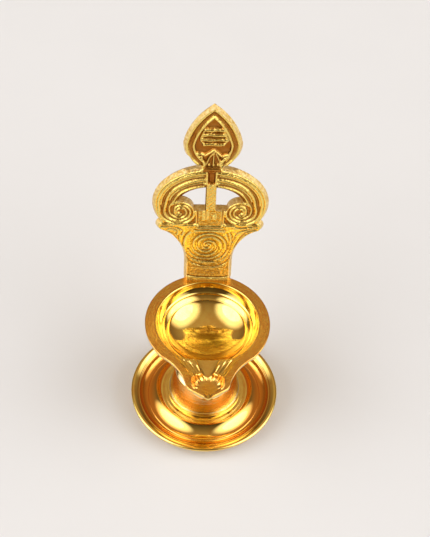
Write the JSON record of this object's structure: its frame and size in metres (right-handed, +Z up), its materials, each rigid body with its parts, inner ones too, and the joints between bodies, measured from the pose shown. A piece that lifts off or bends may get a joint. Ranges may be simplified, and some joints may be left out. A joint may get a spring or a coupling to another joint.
{
  "type": "oil lamp",
  "caption": "Standing brass oil lamp: round drip saucer, tapered drum foot and knopped stem under a spouted oil bowl, with an upright cast scroll crest behind it.",
  "frame": {"origin": "on the ground, at the centre of the saucer's foot ring, on the axis that the saucer, the drum, the stem and the bowl share", "axes": "+Z up; the spout points to -Y and the crest stands at +Y; +X is the right-hand side seen from the spout's side"},
  "size_m": [0.05, 0.058, 0.1145],
  "materials": {
    "polished_brass": "turned and polished, bright, with faint turning lines",
    "cast_brass": "cast relief, brushed bright on the high edges and darker orange-brown in the recesses",
    "steel_fastener": "plain zinc-plated"
  },
  "bodies": {
    "root": {"base_saucer": "polished_brass", "foot_drum": "polished_brass", "stem_knop": "polished_brass", "oil_bowl": "polished_brass", "crest_plate": "cast_brass", "crest_rivets": "cast_brass", "clamp_screw": "steel_fastener", "clamp_washer": "steel_fastener"}
  },
  "joints": []
}
